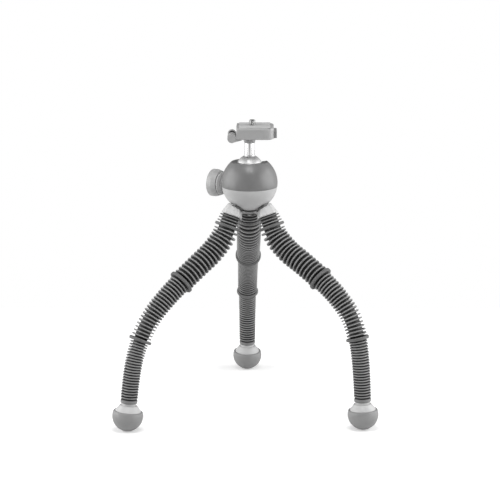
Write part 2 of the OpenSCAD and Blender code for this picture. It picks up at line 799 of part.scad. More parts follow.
module leg_foot_cap(leg) {
    top = foot_drop - collar_len / 2 - loose_gap;
    color(light_grey) on_foot(leg) difference() {
        union() {
            translate([0, 0, foot_lip]) cylinder(h = foot_cap_len, r1 = foot_cap_r, r2 = foot_cap_top_r);
            translate([0, 0, foot_lip]) cylinder(h = top - foot_lip, r = foot_neck_r);
            translate([0, 0, foot_lip - foot_seat_depth]) cylinder(h = foot_seat_depth, r = foot_seat_r);
        }
        translate([0, 0, foot_r - foot_cap_depth]) cylinder(h = far, r = link_body_r(2));
    }
}

module leg_foot_pad(leg) {
    color(rubber_grey) on_foot(leg) difference() {
        sphere(r = foot_r);
        slab(foot_lip, far);
        translate([0, 0, foot_lip - foot_seat_depth]) cylinder(h = far, r = foot_seat_r);
    }
}

// The assembly
hub();
hub_cover();
cover_screws();
root_studs();
pan_bolt();
pan_washer();
lower_shell();
upper_shell();
shell_screws();
ball_cup();
lock_screw();
knob_ring();
knob_cap();
ball();
stem();
clamp_body();
moving_jaw();
clamp_lever();
lever_pin();
release_button();
quick_plate();
plate_pad();
camera_screw();
for (leg = [0:2]) {
    name = leg_names[leg];
    leg_sleeve(leg);
    for (k = [0:link_count - 1])
        leg_link(leg, k);
    leg_foot_cap(leg);
    leg_foot_pad(leg);
}
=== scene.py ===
"""Flexible leg tripod with a ball head: its looks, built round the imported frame. Metres, +Z up."""
import json
import math

import bmesh
import bpy
from mathutils import Matrix, Vector


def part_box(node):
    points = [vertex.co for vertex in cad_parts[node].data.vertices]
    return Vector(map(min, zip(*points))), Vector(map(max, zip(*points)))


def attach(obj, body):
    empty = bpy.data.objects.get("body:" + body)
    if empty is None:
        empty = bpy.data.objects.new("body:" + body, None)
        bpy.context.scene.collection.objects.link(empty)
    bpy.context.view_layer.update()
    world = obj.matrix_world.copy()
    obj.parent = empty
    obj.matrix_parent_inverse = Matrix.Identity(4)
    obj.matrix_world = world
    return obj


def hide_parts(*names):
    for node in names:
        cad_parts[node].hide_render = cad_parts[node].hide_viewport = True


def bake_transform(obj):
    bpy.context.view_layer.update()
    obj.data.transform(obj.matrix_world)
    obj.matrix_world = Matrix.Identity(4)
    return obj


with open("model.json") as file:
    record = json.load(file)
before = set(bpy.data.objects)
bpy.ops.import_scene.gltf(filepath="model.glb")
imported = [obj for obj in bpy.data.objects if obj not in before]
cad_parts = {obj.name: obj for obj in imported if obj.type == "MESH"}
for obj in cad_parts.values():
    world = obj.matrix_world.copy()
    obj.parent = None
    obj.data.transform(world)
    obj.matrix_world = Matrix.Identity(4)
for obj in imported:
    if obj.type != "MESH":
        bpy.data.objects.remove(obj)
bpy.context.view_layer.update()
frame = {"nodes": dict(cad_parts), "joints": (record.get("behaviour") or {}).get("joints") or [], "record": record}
nodes = frame["nodes"]
hinge_at = {j["child"]: Vector(j["pos_m"]) for j in frame["joints"] if j.get("pos_m")}
axis_of = {j["name"]: Vector(j["axis"]) for j in frame["joints"]}

MM = 0.001
UP = Vector((0, 0, 1))

# Camera: a long lens a little above the housing
CAMERA_AT = Vector((0.43, -2058.2, 638.4)) * MM
CAMERA_PITCH = 0.2260
LENS_MM = 150.96
SENSOR_MM = 36.0

# Head, in millimetres from the floor or from the housing's centre
HOUSING_R = 28.0
SEAM_DROP = 3.5
SEAM_GAP = 0.06
SEAM_EDGE = 0.3
SHELL_WALL = 3.5
RIM_OVER_BALL = 6.3
SEAT_GAP = 0.15
CUP_UNDER_BALL = 2.0
CAVITY_R = 17.2
PAN_HOLE_R = 4.1
OPENING_R = 12.2
BALL_R = 13.5
STEM_R = 5.1
STEM_FOOT_R = 5.4
STEM_NECK_H = 1.2
STEM_FLANGE = 0.7
STEM_BOSS_H = 5.6
SPIGOT_R = 3.4
SPIGOT_HOLE_R = 3.6
NOTCH_R = 6.6
HOUSING_Z = hinge_at["head"].z / MM
BALL_Z = hinge_at["ball_body"].z / MM
RIM_RISE = BALL_Z - HOUSING_Z + RIM_OVER_BALL
KNOB_R = 13.75
KNOB_RING_R = 11.75
KNOB_NECK_R = 8.0
KNOB_GAP = 1.6
KNOB_RING_LEN = 3.4
KNOB_CAP_LEN = 12.5

# Clamp
CLAMP_LEFT = -13.25
CLAMP_RIGHT = 24.2
CLAMP_D = 34.0
CLAMP_CORNER = 9.5
CLAMP_BACK_CORNER = 5.5
CLAMP_LEFT_CORNER = 1.6
FRONT_WALL = 1.5
DOVETAIL_W = 28.4
DOVETAIL_H = 2.4
DOVETAIL_RIGHT = 19.2
BUTTON_IN = 2.4
LEVER_R = 4.2
SHELF_T = 1.6
BUTTON_CROWN = 0.8
SCREW_R = 3.175
SCREW_PITCH = 1.27
SCREW_HEAD_R = 6.0
SCREW_HEAD_H = 1.4
FIT = 0.15
PLATE_GAP = 0.03
BEYOND = 60

# Stage: the floor's edges, the light it adds for the camera, the room's grey by depth and by height,
# and how much brighter the room is in reflections
FLOOR_FRONT = -0.45
FLOOR_BACK = 0.4
FLOOR_SIDE = 0.6
FLOOR_LIFT = 0.3
ROOM = ((0.0, 0.1), (0.01, 0.12), (0.04, 0.5), (0.9, 0.5), (0.96, 0.12), (1.0, 0.1))
ROOF = ((0.0, 1.0), (0.62, 1.0), (0.85, 0.4), (1.0, 0.4))
GLOSS_LIFT = 0.9

# Legs, in millimetres along a leg from its first collar
FIRST_HINGE = 4.0
ROOT_LEAN = math.radians(24)
ROOT_LEN = 11.4
HUB_GAP = 0.15
FOOT_DROP = 15.0
FOOT_R = 15.3
LINKS = 9
RIBS = (16, 19, 21)
RIB_START_R = (12.5, 10.8, 9.2)
RIB_END_R = (12.0, 10.2, 8.6)
RIB_T = (1.6, 1.4, 1.3)
GROOVE_R = (8.4, 7.0, 6.0)
COLLAR_R = (13.1, 13.3, 11.4, 8.4)
COLLAR_LEN = (2.8, 3.1, 2.8, 3.8)
BORE_R = (6.7, 5.7, 5.1)
ROOT_RIBS = 3
# Where the collars stand on the rubber's painted shade, from groove (0) to crest (1)
COLLAR_SHADE_LEVEL = 0.78
LEG_NAMES = ("left", "right", "rear")

# Hub
LOBE_R = 10.6
LOBE_TOP_R = 6.4
LOBE_LEN = 13.5
LOBE_FLARE = 1.03
LOBE_SIDES = 8
DISH_GAP = 0.8
# The dark band of painted shade at the dish's inner edge: its thickness, and its low and top from the housing's
# centre
SHADE_BAND_T = 2.1
SHADE_BAND_LOW = -27.5
SHADE_BAND_TOP = -19.7
WING_TOP = -19.2
BOSS_R = 9.2
BOSS_TOP = -28.2
WEB_TOP = -27.0
WEB_HALF = 3.5
WEB_LEN = 17


# Materials
def new_material(name):
    """An empty node material with its Principled shader."""
    material = bpy.data.materials.new(name)
    material.use_nodes = True
    tree = material.node_tree
    return material, tree, tree.nodes["Principled BSDF"]


def noise(tree, scale, detail=3.0, stretch=(1, 1, 1)):
    """Noise in the piece's own space, with scale in features per metre."""
    coords = tree.nodes.new("ShaderNodeTexCoord")
    mapping = tree.nodes.new("ShaderNodeMapping")
    mapping.inputs["Scale"].default_value = stretch
    texture = tree.nodes.new("ShaderNodeTexNoise")
    texture.inputs["Scale"].default_value = scale
    texture.inputs["Detail"].default_value = detail
    tree.links.new(coords.outputs["Object"], mapping.inputs["Vector"])
    tree.links.new(mapping.outputs["Vector"], texture.inputs["Vector"])
    return texture.outputs["Fac"]


def ramp(tree, value, stops):
    """A colour ramp of grey stops (position, grey)."""
    node = tree.nodes.new("ShaderNodeValToRGB")
    while len(node.color_ramp.elements) < len(stops):
        node.color_ramp.elements.new(0.5)
    for element, (position, grey) in zip(node.color_ramp.elements, stops):
        element.position = position
        element.color = (grey, grey, grey, 1)
    tree.links.new(value, node.inputs["Fac"])
    return node.outputs["Color"]


def multiply(tree, a, b):
    """Two colours, one times the other."""
    mix = tree.nodes.new("ShaderNodeMix")
    mix.data_type = "RGBA"
    mix.blend_type = "MULTIPLY"
    mix.inputs["Factor"].default_value = 1.0
    tree.links.new(a, mix.inputs[6])
    tree.links.new(b, mix.inputs[7])
    return mix.outputs[2]


def bump(tree, shader, height, distance, strength=1.0):
    """A bump of that depth in metres."""
    node = tree.nodes.new("ShaderNodeBump")
    node.inputs["Distance"].default_value = distance
    node.inputs["Strength"].default_value = strength
    tree.links.new(height, node.inputs["Height"])
    tree.links.new(node.outputs["Normal"], shader.inputs["Normal"])


def moulded(name, grey, roughness, grain=0.00004):
    """Moulded plastic: even colour with faint flow marks and a fine grain."""
    material, tree, shader = new_material(name)
    flow = noise(tree, 55, 2)
    tree.links.new(ramp(tree, flow, ((0.3, grey * 0.94), (0.7, grey * 1.05))), shader.inputs["Base Color"])
    tree.links.new(ramp(tree, noise(tree, 160), ((0.3, roughness - 0.05), (0.7, roughness + 0.05))),
                   shader.inputs["Roughness"])
    bump(tree, shader, noise(tree, 2600, 2), grain, 0.5)
    return material


def metal(name, grey, roughness, stretch=(1, 1, 1), marks=0.06):
    """Bare metal with fine tool marks along one direction."""
    material, tree, shader = new_material(name)
    shader.inputs["Metallic"].default_value = 1.0
    lines = noise(tree, 900, 4, stretch)
    tree.links.new(ramp(tree, lines, ((0.35, grey * 0.92), (0.65, grey))), shader.inputs["Base Color"])
    tree.links.new(ramp(tree, lines, ((0.3, roughness), (0.7, roughness + marks))),
                   shader.inputs["Roughness"])
    return material


def ribbed_rubber(name):
    """Soft rubber with painted shade: nearly black down in the grooves, paler up on the rib crests."""
    material, tree, shader = new_material(name)
    depth = tree.nodes.new("ShaderNodeAttribute")
    depth.attribute_name = "crest"
    # Painted shade: darkest in the grooves, lightest on the crests
    shade = ramp(tree, depth.outputs["Fac"], ((0.0, 0.008), (0.5, 0.03), (0.84, 0.13), (1.0, 0.245)))
    patches = ramp(tree, noise(tree, 140, 4), ((0.3, 0.84), (0.7, 1.0)))
    tree.links.new(multiply(tree, shade, patches), shader.inputs["Base Color"])
    tree.links.new(ramp(tree, noise(tree, 300), ((0.3, 0.5), (0.7, 0.64))), shader.inputs["Roughness"])
    bump(tree, shader, noise(tree, 3000, 3), 0.00005, 0.5)
    return material


materials = {
    "light_plastic": moulded("light_plastic_look", 0.50, 0.42),
    "knob_cap": moulded("knob_cap_look", 0.40, 0.42),
    "shell_light": moulded("shell_light_look", 0.43, 0.40),
    "shell_dark": moulded("shell_dark_look", 0.15, 0.36),
    "knob_grey": moulded("knob_grey_look", 0.46, 0.42),
    "clamp_grey": moulded("clamp_grey_look", 0.33, 0.40, 0.00006),
    "dark_plastic": moulded("dark_plastic_look", 0.10, 0.5),
    "button": moulded("button_look", 0.20, 0.45),
    "foot_rubber": moulded("foot_rubber_look", 0.235, 0.5, 0.00008),
    "pad_rubber": moulded("pad_rubber_look", 0.45, 0.6, 0.00008),
    "leg_rubber": ribbed_rubber("leg_rubber_look"),
    "ball_chrome": metal("ball_chrome_look", 0.86, 0.07, (1, 1, 6), 0.05),
    "ball_satin": metal("ball_satin_look", 0.54, 0.48, (1, 1, 6), 0.08),
    "steel": metal("steel_look", 0.55, 0.28, (1, 1, 8), 0.1),
    "thread": metal("thread_look", 0.42, 0.18, (1, 1, 8), 0.08),
    "link_metal": metal("link_metal_look", 0.5, 0.35, (1, 1, 4), 0.1),
}


# Meshes
def finish_mesh(mesh, sharp_deg=35):
    """Smooth faces, with hard edges where two faces meet at more than the angle."""
    mesh.polygons.foreach_set("use_smooth", [True] * len(mesh.polygons))
    mesh.set_sharp_from_angle(angle=math.radians(sharp_deg))
    mesh.update()


def piece_from(name, verts, faces, sharp_deg=35):
    """A new object with these points and faces, in metres."""
    mesh = bpy.data.meshes.new(name)
    mesh.from_pydata([tuple(v) for v in verts], [], faces)
    finish_mesh(mesh, sharp_deg)
    piece = bpy.data.objects.new(name, mesh)
    bpy.context.scene.collection.objects.link(piece)
    return piece


def settle(piece, slot, body, *replaced, look=None):
    """Gives a piece the material of its look, or else of its slot, puts it on its body and hides the nodes it
    stands for.
    """
    piece.data.materials.clear()
    piece.data.materials.append(materials[look or slot])
    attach(piece, body)
    if replaced:
        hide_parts(*replaced)


def rounded(corners, steps=5):
    """An outline with its corners (u, v, radius) turned into arcs; a radius of 0 stays a corner."""
    points = []
    count = len(corners)
    for i, (u, v, radius) in enumerate(corners):
        here = Vector((u, v))
        before = Vector(corners[i - 1][:2]) - here
        after = Vector(corners[(i + 1) % count][:2]) - here
        if radius == 0 or before.length == 0 or after.length == 0:
            points.append(here)
            continue
        half = before.angle(after) / 2
        reach = min(radius / math.tan(half), 0.49 * before.length, 0.49 * after.length)
        a = here + before.normalized() * reach
        b = here + after.normalized() * reach
        for k in range(steps + 1):
            t = k / steps
            points.append((1 - t) ** 2 * a + 2 * t * (1 - t) * here + t * t * b)
    return points


def lathe(name, profile, place=Matrix(), segments=72, closed=True):
    """Turns an outline of (radius, height) in millimetres about the local Z of a placement."""
    verts, faces, rings = [], [], []
    for r, h in profile:
        if r < 1e-6:
            rings.append([len(verts)])
            verts.append(place @ Vector((0, 0, h * MM)))
            continue
        rings.append(list(range(len(verts), len(verts) + segments)))
        for k in range(segments):
            t = 2 * math.pi * k / segments
            verts.append(place @ Vector((r * math.cos(t) * MM, r * math.sin(t) * MM, h * MM)))
    pairs = list(zip(rings, rings[1:])) + ([(rings[-1], rings[0])] if closed else [])
    for a, b in pairs:
        for k in range(segments):
            n = (k + 1) % segments
            if len(a) == 1 and len(b) == 1:
                break
            if len(a) == 1:
                faces.append((a[0], b[n], b[k]))
            elif len(b) == 1:
                faces.append((a[k], a[n], b[0]))
            else:
                faces.append((a[k], a[n], b[n], b[k]))
    return piece_from(name, verts, faces)


def along(origin, direction):
    """A placement whose local Z lies along a direction."""
    return Matrix.Translation(origin) @ UP.rotation_difference(direction).to_matrix().to_4x4()


def loft(name, levels, axis="Z"):
    """Outlines in millimetres at rising heights along an axis, joined into one closed solid."""
    count = len(levels[0][1])
    order = {"X": (2, 0, 1), "Y": (0, 2, 1), "Z": (0, 1, 2)}[axis]
    verts = [Vector([(u, v, h)[k] for k in order]) * MM for h, outline in levels for u, v in outline]
    faces = [tuple(range(count)), tuple(range(len(verts) - 1, len(verts) - count - 1, -1))]
    for a in range(0, len(verts) - count, count):
        b = a + count
        for k in range(count):
            n = (k + 1) % count
            faces.append((a + k, b + k, b + n, a + n))
    piece = piece_from(name, verts, faces)
    face_out(piece)
    return piece


def prism(name, outline, low, high, axis="Z"):
    """An outline in millimetres, carried from low to high along an axis."""
    return loft(name, [(low, outline), (high, outline)], axis)


def face_out(piece):
    """Turns all faces of a closed mesh outwards."""
    work = bmesh.new()
    work.from_mesh(piece.data)
    bmesh.ops.recalc_face_normals(work, faces=work.faces)
    work.to_mesh(piece.data)
    work.free()


def apply_modifiers(piece):
    """Keeps what the piece's modifiers make of its mesh."""
    bpy.context.view_layer.update()
    mesh = bpy.data.meshes.new_from_object(piece.evaluated_get(bpy.context.evaluated_depsgraph_get()))
    piece.modifiers.clear()
    piece.data = mesh
    finish_mesh(mesh)


def combine(piece, other, operation):
    """Exact difference, union or intersection, and the other piece is gone."""
    modifier = piece.modifiers.new("combine", "BOOLEAN")
    modifier.operation = operation
    modifier.solver = "EXACT"
    modifier.object = other
    apply_modifiers(piece)
    bpy.data.objects.remove(other)


def soften(piece, width, segments=3, angle_deg=40):
    """Rounds the hard edges by a width in millimetres."""
    modifier = piece.modifiers.new("soften", "BEVEL")
    modifier.width = width * MM
    modifier.segments = segments
    modifier.limit_method = "ANGLE"
    modifier.angle_limit = math.radians(angle_deg)
    apply_modifiers(piece)


def sphere_arc(radius, low, high, steps=28):
    """Points (radius, height) of a sphere between two heights from its centre."""
    a, b = math.asin(low / radius), math.asin(high / radius)
    angles = [a + (b - a) * k / steps for k in range(steps + 1)]
    return [(radius * math.cos(t), radius * math.sin(t)) for t in angles]


# Legs
class Leg:
    """The centre line of one leg, by its hinges and its foot."""

    def __init__(self, name):
        hinges = [hinge_at[f"{name}_link_{k}"] for k in range(1, LINKS + 1)]
        low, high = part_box(f"{name}_foot_pad")
        self.foot = Vector(((low.x + high.x) / 2, (low.y + high.y) / 2, low.z + FOOT_R * MM))
        self.out = Vector((hinges[0].x, hinges[0].y, 0)).normalized()
        self.side = UP.cross(self.out)
        self.root_way = math.sin(ROOT_LEAN) * self.out - math.cos(ROOT_LEAN) * UP
        self.collar = hinges[0] - FIRST_HINGE * MM * self.root_way
        knots = [self.collar - ROOT_LEN * MM * self.root_way] + hinges + [self.foot]
        self.points = self.smooth(knots)
        self.lengths = [0.0]
        for a, b in zip(self.points, self.points[1:]):
            self.lengths.append(self.lengths[-1] + (b - a).length / MM)
        self.lengths = [s - ROOT_LEN for s in self.lengths]
        self.hinge_s = [self.nearest(p) for p in hinges]
        self.foot_s = self.lengths[-1]
        self.end_s = self.foot_s - FOOT_DROP
        self.foot_way = (self.foot - hinges[-1]).normalized()

    def smooth(self, knots, steps=24):
        """A smooth curve through the knots, straight at the root."""
        ways = [self.root_way]
        for a, b, c in zip(knots, knots[1:], knots[2:]):
            u, v = (b - a).length, (c - b).length
            ways.append(((b - a) / u * v + (c - b) / v * u) / (u + v))
        ways[1] = self.root_way
        ways.append((knots[-1] - knots[-2]).normalized())
        points = [knots[0]]
        for a, b, m, n in zip(knots, knots[1:], ways, ways[1:]):
            span = (b - a).length
            for k in range(1, steps + 1):
                t = k / steps
                points.append((2 * t ** 3 - 3 * t ** 2 + 1) * a + (t ** 3 - 2 * t ** 2 + t) * span * m
                              + (3 * t ** 2 - 2 * t ** 3) * b + (t ** 3 - t ** 2) * span * n)
        return points

    def nearest(self, point):
        """The station of the curve's point that lies nearest."""
        return min(zip(self.points, self.lengths), key=lambda p: (p[0] - point).length)[1]

    def at(self, s):
        """Place, direction and normal at a station."""
        k = next((i for i, length in enumerate(self.lengths[1:]) if length >= s), len(self.lengths) - 2)
        a, b = self.points[k], self.points[k + 1]
        t = (s - self.lengths[k]) / (self.lengths[k + 1] - self.lengths[k])
        before = self.points[max(k - 1, 0)]
        after = self.points[min(k + 2, len(self.points) - 1)]
        way = ((b - before).normalized() * (1 - t) + (after - a).normalized() * t).normalized()
        return a + (b - a) * t, way, way.cross(self.side).normalized()


def rib_profile(s, crest_r, groove_r, thickness, flank=0.12):
    """One rib as pairs of station and radius, with a round tip and a slight draft."""
    tip = thickness / 2
    base = tip * (1 + flank)
    points = [(s - base, groove_r)]
    for k in range(7):
        t = math.pi * (1 - k / 6)
        points.append((s + tip * math.cos(t), crest_r - tip + tip * math.sin(t)))
    points.append((s + base, groove_r))
    return points


def collar_profile(s, radius, length, groove_r, edge=0.9):
    """A thick collar with rounded edges."""
    corners = [(s - length / 2, groove_r, 0), (s - length / 2, radius, edge),
               (s + length / 2, radius, edge), (s + length / 2, groove_r, 0)]
    return [tuple(p) for p in rounded(corners, 4)]


def sleeve_profile(leg):
    """The sleeve's outside as pairs of station and radius, and the stations of its grooves."""
    collars = [0.0, leg.hinge_s[3], leg.hinge_s[6], leg.end_s]
    root_top = -ROOT_LEN + HUB_GAP
    profile = [(root_top, GROOVE_R[0])]
    grooves = []
    root_pitch = (-COLLAR_LEN[0] / 2 - root_top) / (ROOT_RIBS + 0.25)
    for k in range(ROOT_RIBS):
        s = root_top + (k + 0.5) * root_pitch
        profile += rib_profile(s, RIB_START_R[0] - 0.4 * (ROOT_RIBS - k), GROOVE_R[0], RIB_T[0] * 0.8)
    for run in range(3):
        profile += collar_profile(collars[run], COLLAR_R[run], COLLAR_LEN[run], GROOVE_R[run])
        first = collars[run] + COLLAR_LEN[run] / 2
        last = collars[run + 1] - COLLAR_LEN[run + 1] / 2
        pitch = (last - first) / (RIBS[run] + 0.5)
        for k in range(1, RIBS[run] + 1):
            s = first + (k - 0.25) * pitch
            share = (k - 1) / (RIBS[run] - 1)
            crest = RIB_START_R[run] + (RIB_END_R[run] - RIB_START_R[run]) * share
            profile += rib_profile(s, crest, GROOVE_R[run], RIB_T[run])
            grooves.append(s + pitch / 2)
    profile += collar_profile(collars[3], COLLAR_R[3], COLLAR_LEN[3], GROOVE_R[2], 1.3)
    return profile, grooves


def bore_at(leg, s):
    """Radius of the sleeve's bore at a station."""
    run = 0 if s < leg.hinge_s[2] + 8 else 1 if s < leg.hinge_s[5] + 8 else 2
    return BORE_R[run]


def tube(name, leg, profile, sides=44):
    """A closed tube along a leg: the profile outside, the bore inside, with its crests marked for the painted
    shade.
    """
    low, high = profile[0][0], profile[-1][0]
    rings = list(profile)
    steps = max(2, round((high - low) / 5))
    bore = [(high + (low - high) * k / steps) for k in range(steps + 1)]
    rings += [(s, bore_at(leg, s)) for s in bore]
    verts, crest = [], []
    for s, r in rings:
        place, _, normal = leg.at(s)
        for k in range(sides):
            t = 2 * math.pi * k / sides
            verts.append(place + r * MM * (math.cos(t) * leg.side + math.sin(t) * normal))
        run = 0 if s < leg.hinge_s[3] else 1 if s < leg.hinge_s[6] else 2
        # Height on the rib from groove to crest, which sets the painted shade
        groove_to_crest = (r - GROOVE_R[run]) / (RIB_END_R[run] - GROOVE_R[run])
        crest += [COLLAR_SHADE_LEVEL if r > RIB_START_R[run] + 0.25 else min(max(groove_to_crest, 0.0), 1.0)] * sides
    faces = []
    for i in range(len(rings)):
        j = (i + 1) % len(rings)
        for k in range(sides):
            n = (k + 1) % sides
            faces.append((i * sides + k, i * sides + n, j * sides + n, j * sides + k))
    piece = piece_from(name, verts, faces, 60)
    layer = piece.data.attributes.new("crest", "FLOAT", "POINT")
    layer.data.foreach_set("value", crest)
    face_out(piece)
    return piece


def make_sleeve(name, leg):
    """The ribbed sleeve as one stretch over each hinge, cut in the grooves."""
    profile, grooves = sleeve_profile(leg)
    middles = [(a + b) / 2 for a, b in zip(leg.hinge_s, leg.hinge_s[1:])]
    cuts = [min(grooves, key=lambda g: abs(g - m)) for m in middles]
    edges = [profile[0][0]] + cuts + [profile[-1][0]]
    margin = 2.0
    for k, (low, high) in enumerate(zip(edges, edges[1:])):
        part = [p for p in profile if low <= p[0] <= high]
        if k > 0:
            part.insert(0, (low, part[0][1]))
        if k < LINKS - 1:
            part.append((high, part[-1][1]))
        piece = tube(f"{name}_sleeve_{k + 1}", leg, part)
        piece.data.materials.append(materials["leg_rubber"])
        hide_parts(f"{name}_sleeve")
        reach = min(leg.hinge_s[k] - low, high - leg.hinge_s[k]) - margin
        start = leg.at(leg.hinge_s[k] - reach)[0]
        end = leg.at(leg.hinge_s[k] + reach)[0]
        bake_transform(piece)


def make_foot(name, leg):
    """The light cap and the rubber bowl that it sits in."""
    place = along(leg.foot, -leg.foot_way)
    body = f"{name}_link_{LINKS}"
    lip, shoulder, rim_r, socket_r = 5.0, 2.2, 14.4, 10.8
    cap_r, cap_top, ledge_r, neck_r = 12.9, 10.7, 8.7, 7.2
    bowl = sphere_arc(FOOT_R, -FOOT_R, lip - shoulder, 36)
    edge = rounded([(*bowl[-1], 0), (rim_r, lip, 1.8), (cap_r, lip, 0.3), (cap_r, lip - 0.8, 0)])
    seat = [(socket_r, lip - 0.8), (socket_r, 0), (0, 0)]
    pad = lathe(f"{name}_foot_bowl", bowl + edge[1:] + seat, place, closed=False)
    settle(pad, "foot_rubber", body, f"{name}_foot_pad")
    neck_top = FOOT_DROP - 1.6
    plug_r, cap_r = socket_r - 0.1, cap_r - 0.1
    outline = rounded([(0, 0.2, 0), (plug_r, 0.2, 0), (plug_r, lip - 0.6, 0), (cap_r, lip - 0.6, 0.2),
                       (cap_r, lip + 0.3, 0.6), (ledge_r, cap_top, 0.7), (neck_r, cap_top, 0.2),
                       (neck_r, neck_top, 0), (0, neck_top, 0)])
    cap = lathe(f"{name}_foot_collar", outline, place, closed=False)
    settle(cap, "light_plastic", body, f"{name}_foot_cap")


legs = {name: Leg(name) for name in LEG_NAMES}
for leg_name, one_leg in legs.items():
    make_sleeve(leg_name, one_leg)
    make_foot(leg_name, one_leg)


# Hub
def remesh(piece, voxel, smooths):
    """Melts overlapping solids into one skin and evens it out."""
    modifier = piece.modifiers.new("melt", "REMESH")
    modifier.mode = "VOXEL"
    modifier.voxel_size = voxel * MM
    smooth = piece.modifiers.new("even", "SMOOTH")
    smooth.factor = 0.5
    smooth.iterations = smooths
    apply_modifiers(piece)


def join(pieces, name):
    """Several pieces as one mesh."""
    work = bmesh.new()
    for piece in pieces:
        work.from_mesh(piece.data)
        bpy.data.objects.remove(piece)
    mesh = bpy.data.meshes.new(name)
    work.to_mesh(mesh)
    work.free()
    finish_mesh(mesh)
    joined = bpy.data.objects.new(name, mesh)
    bpy.context.scene.collection.objects.link(joined)
    return joined


housing_at = Vector((0, 0, HOUSING_Z)) * MM
ball_at = Vector((0, 0, BALL_Z)) * MM


def dish_cutter(radius, low, top=None):
    """A ball round the housing's centre, flat at a height below it, and at a second one if given."""
    profile = [(0, low)] + sphere_arc(radius, low, radius if top is None else top, 60)
    if top is not None:
        profile.append((0, top))
    return lathe("dish", profile, Matrix.Translation(housing_at), 128, closed=False)


def make_hub():
    """Three faceted wings cast in one with a boss and webs, a dark band of painted shade along the housing, and
    the cover.
    """
    cover_z, floor_z = (corner.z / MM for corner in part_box("hub_cover"))
    parts = []
    for leg in legs.values():
        crest = leg.collar - (ROOT_LEN + LOBE_LEN) * MM * leg.root_way
        turn = Matrix.Rotation(math.pi / LOBE_SIDES, 4, "Z")
        cone = [(0, 0), (LOBE_TOP_R, 0), (LOBE_R * LOBE_FLARE, LOBE_LEN - 1), (LOBE_R, LOBE_LEN), (0, LOBE_LEN)]
        parts.append(lathe("lobe", cone, along(crest, leg.root_way) @ turn, LOBE_SIDES, closed=False))
        plan = [(-WEB_HALF, 0), (WEB_HALF, 0), (WEB_HALF, WEB_LEN), (-WEB_HALF, WEB_LEN)]
        web = prism("web", plan, floor_z, HOUSING_Z + WEB_TOP)
        web.data.transform(Matrix.Rotation(math.atan2(leg.out.y, leg.out.x) - math.pi / 2, 4, "Z"))
        parts.append(web)
    boss = [(0, floor_z), (BOSS_R - 0.3, floor_z), (BOSS_R, floor_z + 0.4), (BOSS_R, HOUSING_Z + BOSS_TOP),
            (0, HOUSING_Z + BOSS_TOP)]
    parts.append(lathe("boss", boss, closed=False))
    hub = join(parts, "hub_casting")
    remesh(hub, voxel=0.5, smooths=3)
    reach = HOUSING_R * 2
    above = prism("above", [(-reach, -reach), (reach, -reach), (reach, reach), (-reach, reach)],
                  HOUSING_Z + WING_TOP, HOUSING_Z + reach)
    combine(hub, above, "DIFFERENCE")
    # A band cut from the casting along the dish's edge, to be painted dark as the shade of the gap round the
    # housing
    shade_band = bpy.data.objects.new("hub_shade_band", hub.data.copy())
    bpy.context.scene.collection.objects.link(shade_band)
    dish_r = HOUSING_R + DISH_GAP
    combine(hub, dish_cutter(dish_r + SHADE_BAND_T, SHADE_BAND_LOW, SHADE_BAND_TOP), "DIFFERENCE")
    combine(hub, dish_cutter(dish_r, -dish_r), "DIFFERENCE")
    remesh(hub, voxel=0.42, smooths=2)
    combine(shade_band, dish_cutter(dish_r + SHADE_BAND_T, SHADE_BAND_LOW, SHADE_BAND_TOP), "INTERSECT")
    combine(shade_band, dish_cutter(dish_r, -dish_r), "DIFFERENCE")
    settle(hub, "light_plastic", "hub_body", "hub")
    # The band takes the dark plastic as painted shade
    settle(shade_band, "dark_plastic", "hub_body", "hub")
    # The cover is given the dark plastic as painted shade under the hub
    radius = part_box("hub_cover")[1].x / MM
    disc = rounded([(0, cover_z, 0), (radius, cover_z, 0.5), (radius, floor_z, 0.2), (0, floor_z, 0)])
    cover = lathe("hub_cap", disc, closed=False)
    settle(cover, "dark_plastic", "hub_body", "hub_cover")


# Ball head
def make_shells():
    """The light lower shell and the dark upper shell, parted at a fine seam."""
    place = Matrix.Translation(housing_at)
    flat = HOUSING_R - 1
    inner = HOUSING_R - SHELL_WALL
    seam = -SEAM_DROP - SEAM_GAP
    outside = sphere_arc(HOUSING_R, -flat, -SEAM_DROP - SEAM_EDGE, 40)
    edge_r = outside[-1][0]
    edge = rounded([(edge_r, -SEAM_DROP - SEAM_EDGE, 0), (edge_r, seam, 0.25), (inner, seam, 0)])
    inside = sphere_arc(inner, -flat + SHELL_WALL, seam)[::-1]
    hole = [(PAN_HOLE_R, -flat + SHELL_WALL), (PAN_HOLE_R, -flat)]
    lower = lathe("lower_half", outside + edge[1:-1] + inside + hole, place, 128)
    settle(lower, "shell_light", "head", "lower_shell")
    rim_r = math.sqrt(HOUSING_R ** 2 - RIM_RISE ** 2)
    cup_top = BALL_Z - HOUSING_Z - CUP_UNDER_BALL
    seam = -SEAM_DROP + SEAM_GAP
    outside = sphere_arc(HOUSING_R, -SEAM_DROP + SEAM_EDGE, RIM_RISE - 0.8, 40)
    seat_r = BALL_R + SEAT_GAP
    seat = [(r, h + BALL_Z - HOUSING_Z, 0) for r, h in
            reversed(sphere_arc(seat_r, 0, math.sqrt(seat_r ** 2 - OPENING_R ** 2), 12))]
    top = rounded([(*outside[-1], 0), (rim_r, RIM_RISE, 0.5), (OPENING_R, RIM_RISE, 0.08)] + seat
                  + [(seat_r, cup_top, 0), (CAVITY_R, cup_top, 0), (CAVITY_R, seam, 0),
                     (outside[0][0], seam, 0.25)])
    upper = lathe("upper_half", outside + top[1:], place, 128)
    notch_way = axis_of["head_tilt"].cross(UP)
    section = [(NOTCH_R * math.cos(t), NOTCH_R * math.sin(t)) for t in
               [math.pi * (1 + k / 24) for k in range(25)]] + [(NOTCH_R, 30), (-NOTCH_R, 30)]
    cutter = prism("notch", section, 0, BEYOND, "Y")
    turn = math.atan2(notch_way.y, notch_way.x) - math.pi / 2
    cutter.data.transform(Matrix.Translation(ball_at) @ Matrix.Rotation(turn, 4, "Z"))
    combine(upper, cutter, "DIFFERENCE")
    settle(upper, "shell_dark", "head", "upper_shell")


